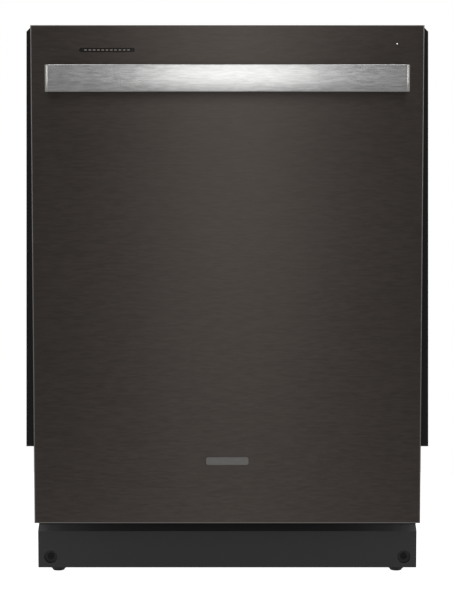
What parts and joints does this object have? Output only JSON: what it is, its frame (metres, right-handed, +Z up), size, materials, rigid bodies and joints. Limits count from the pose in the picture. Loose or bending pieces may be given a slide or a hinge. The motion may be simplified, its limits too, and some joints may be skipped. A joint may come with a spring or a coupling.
{
  "type": "built in dishwasher",
  "caption": "Under-counter dishwasher with a drop-down front door, bar handle, top controls, sliding racks and rotating spray arms.",
  "frame": {"origin": "on the floor, under the middle of the whole object", "axes": "front towards -Y, +X to the right seen from the front, +Z up"},
  "size_m": [0.6344, 0.67, 0.87],
  "materials": {
    "dark_steel": "dark brushed, horizontal grain",
    "bright_steel": "satin, horizontal grain",
    "tub_steel": "bright rolled",
    "zinc_steel": "zinc plated",
    "black_plastic": "fine texture",
    "grey_plastic": "satin",
    "dark_grey_plastic": "satin",
    "smoked_window": "gloss",
    "led_lens": "lit lens",
    "black_rubber": "matt",
    "bitumen_felt": "felted",
    "white_felt": "felted",
    "coated_wire": "nylon coated",
    "circuit_board": "gloss"
  },
  "bodies": {
    "cabinet": {"tub_wrapper": "tub_steel", "tub_back": "tub_steel", "tub_floor": "tub_steel", "tub_gasket": "black_rubber", "sound_blanket": "bitumen_felt", "side_strips": "black_plastic", "base_tray": "black_plastic", "toe_panel": "black_plastic", "toe_panel_screws": "zinc_steel", "hinge_brackets": "zinc_steel", "sump": "grey_plastic", "filter_plate": "tub_steel", "heating_element": "tub_steel", "wash_pump": "black_plastic", "drain_pump": "black_plastic", "inlet_valve": "dark_grey_plastic", "junction_box": "zinc_steel", "rack_rails": "zinc_steel", "latch_strike": "zinc_steel", "counter_brackets": "zinc_steel", "feed_tube": "grey_plastic", "door_springs": "zinc_steel"},
    "door": {"door_outer_panel": "dark_steel", "indicator_window": "smoked_window", "status_led": "led_lens", "blank_badge": "bright_steel", "bar_handle": "bright_steel", "handle_screws": "zinc_steel", "door_liner": "tub_steel", "door_felt": "white_felt", "door_bottom_seal": "black_rubber", "console_strip": "black_plastic", "control_board": "circuit_board", "door_latch": "dark_grey_plastic", "dispenser_body": "grey_plastic", "hinge_arms": "zinc_steel"},
    "latch_hook": {"latch_hook": "dark_grey_plastic"},
    "dispenser_lid": {"dispenser_lid": "grey_plastic"},
    "rinse_aid_cap": {"rinse_aid_cap": "dark_grey_plastic"},
    "lower_rack": {"lower_rack": "coated_wire", "wheel_carriers": "grey_plastic", "cutlery_basket": "grey_plastic"},
    "front_wheels": {"front_rack_wheels": "grey_plastic"},
    "rear_wheels": {"rear_rack_wheels": "grey_plastic"},
    "upper_rack": {"upper_rack": "coated_wire", "upper_arm_feed": "grey_plastic"},
    "third_rack": {"third_rack": "coated_wire"},
    "upper_spray_arm": {"upper_spray_arm": "grey_plastic"},
    "lower_spray_arm": {"lower_spray_arm": "grey_plastic"},
    "top_spray_arm": {"top_spray_arm": "grey_plastic"},
    "filter_cup": {"filter_cup": "grey_plastic"},
    "float_cap": {"float_cap": "grey_plastic"},
    "front_left_foot": {"front_left_foot": "black_plastic"},
    "front_right_foot": {"front_right_foot": "black_plastic"},
    "rear_feet": {"rear_feet": "black_plastic"},
    "button_1": {"button_1": "dark_grey_plastic"},
    "button_2": {"button_2": "dark_grey_plastic"},
    "button_3": {"button_3": "dark_grey_plastic"},
    "button_4": {"button_4": "dark_grey_plastic"},
    "button_5": {"button_5": "dark_grey_plastic"}
  },
  "joints": [
    {"name": "door_hinge", "type": "hinge", "parent": "cabinet", "child": "door", "pos_m": [0, -0.245, 0.139], "axis": [1, 0, 0], "range_deg": [0, 90], "deforming": ["door_springs"]},
    {"name": "lower_rack_slide", "type": "slide", "parent": "cabinet", "child": "lower_rack", "axis": [0, -1, 0], "range_m": [0, 0.45]},
    {"name": "upper_rack_slide", "type": "slide", "parent": "cabinet", "child": "upper_rack", "axis": [0, -1, 0], "range_m": [0, 0.4]},
    {"name": "third_rack_slide", "type": "slide", "parent": "cabinet", "child": "third_rack", "axis": [0, -1, 0], "range_m": [0, 0.4]},
    {"name": "front_wheel_spin", "type": "hinge", "parent": "lower_rack", "child": "front_wheels", "pos_m": [0.255, -0.087, 0.185], "axis": [1, 0, 0], "range_deg": [0, 420]},
    {"name": "rear_wheel_spin", "type": "hinge", "parent": "lower_rack", "child": "rear_wheels", "pos_m": [0.255, 0.223, 0.185], "axis": [1, 0, 0], "range_deg": [0, 420]},
    {"name": "lower_arm_spin", "type": "hinge", "parent": "cabinet", "child": "lower_spray_arm", "pos_m": [0, 0.02, 0.178], "axis": [0, 0, 1], "continuous": true},
    {"name": "upper_arm_spin", "type": "hinge", "parent": "upper_rack", "child": "upper_spray_arm", "pos_m": [0, 0.0355, 0.454], "axis": [0, 0, 1], "continuous": true},
    {"name": "top_arm_spin", "type": "hinge", "parent": "cabinet", "child": "top_spray_arm", "pos_m": [0, 0.0355, 0.806], "axis": [0, 0, 1], "continuous": true},
    {"name": "filter_twist", "type": "hinge", "parent": "cabinet", "child": "filter_cup", "pos_m": [0.07, 0.02, 0.15], "axis": [0, 0, 1], "range_deg": [0, 90]},
    {"name": "float_rise", "type": "slide", "parent": "cabinet", "child": "float_cap", "axis": [0, 0, 1], "range_m": [0, 0.012]},
    {"name": "latch_hook_turn", "type": "hinge", "parent": "door", "child": "latch_hook", "pos_m": [0, -0.231, 0.816], "axis": [1, 0, 0], "range_deg": [0, 20]},
    {"name": "lid_slide", "type": "slide", "parent": "door", "child": "dispenser_lid", "axis": [1, 0, 0], "range_m": [0, 0.062]},
    {"name": "rinse_cap_twist", "type": "hinge", "parent": "door", "child": "rinse_aid_cap", "pos_m": [0.069, -0.227, 0.636], "axis": [0, 1, 0], "range_deg": [0, 90]},
    {"name": "button_1_press", "type": "slide", "parent": "door", "child": "button_1", "axis": [0, 0, -1], "range_m": [0, 0.0012], "stiffness_N_per_m": 600, "springref_m": -0.0005},
    {"name": "button_2_press", "type": "slide", "parent": "door", "child": "button_2", "axis": [0, 0, -1], "range_m": [0, 0.0012], "stiffness_N_per_m": 600, "springref_m": -0.0005},
    {"name": "button_3_press", "type": "slide", "parent": "door", "child": "button_3", "axis": [0, 0, -1], "range_m": [0, 0.0012], "stiffness_N_per_m": 600, "springref_m": -0.0005},
    {"name": "button_4_press", "type": "slide", "parent": "door", "child": "button_4", "axis": [0, 0, -1], "range_m": [0, 0.0012], "stiffness_N_per_m": 600, "springref_m": -0.0005},
    {"name": "button_5_press", "type": "slide", "parent": "door", "child": "button_5", "axis": [0, 0, -1], "range_m": [0, 0.0012], "stiffness_N_per_m": 600, "springref_m": -0.0005},
    {"name": "front_left_foot_screw", "type": "slide", "parent": "cabinet", "child": "front_left_foot", "axis": [0, 0, -1], "range_m": [0, 0.025]},
    {"name": "front_right_foot_screw", "type": "slide", "parent": "cabinet", "child": "front_right_foot", "axis": [0, 0, -1], "range_m": [0, 0.025]},
    {"name": "rear_feet_screw", "type": "slide", "parent": "cabinet", "child": "rear_feet", "axis": [0, 0, -1], "range_m": [0, 0.025]}
  ],
  "couplings": [
    {"joint": "lower_rack_slide", "follows": "door_hinge", "m_per_rad": 0.09},
    {"joint": "upper_rack_slide", "follows": "door_hinge", "m_per_rad": 0.25},
    {"joint": "third_rack_slide", "follows": "door_hinge", "m_per_rad": 0.25},
    {"joint": "front_wheel_spin", "follows": "door_hinge", "ratio": 4.5},
    {"joint": "rear_wheel_spin", "follows": "door_hinge", "ratio": 4.5}
  ]
}
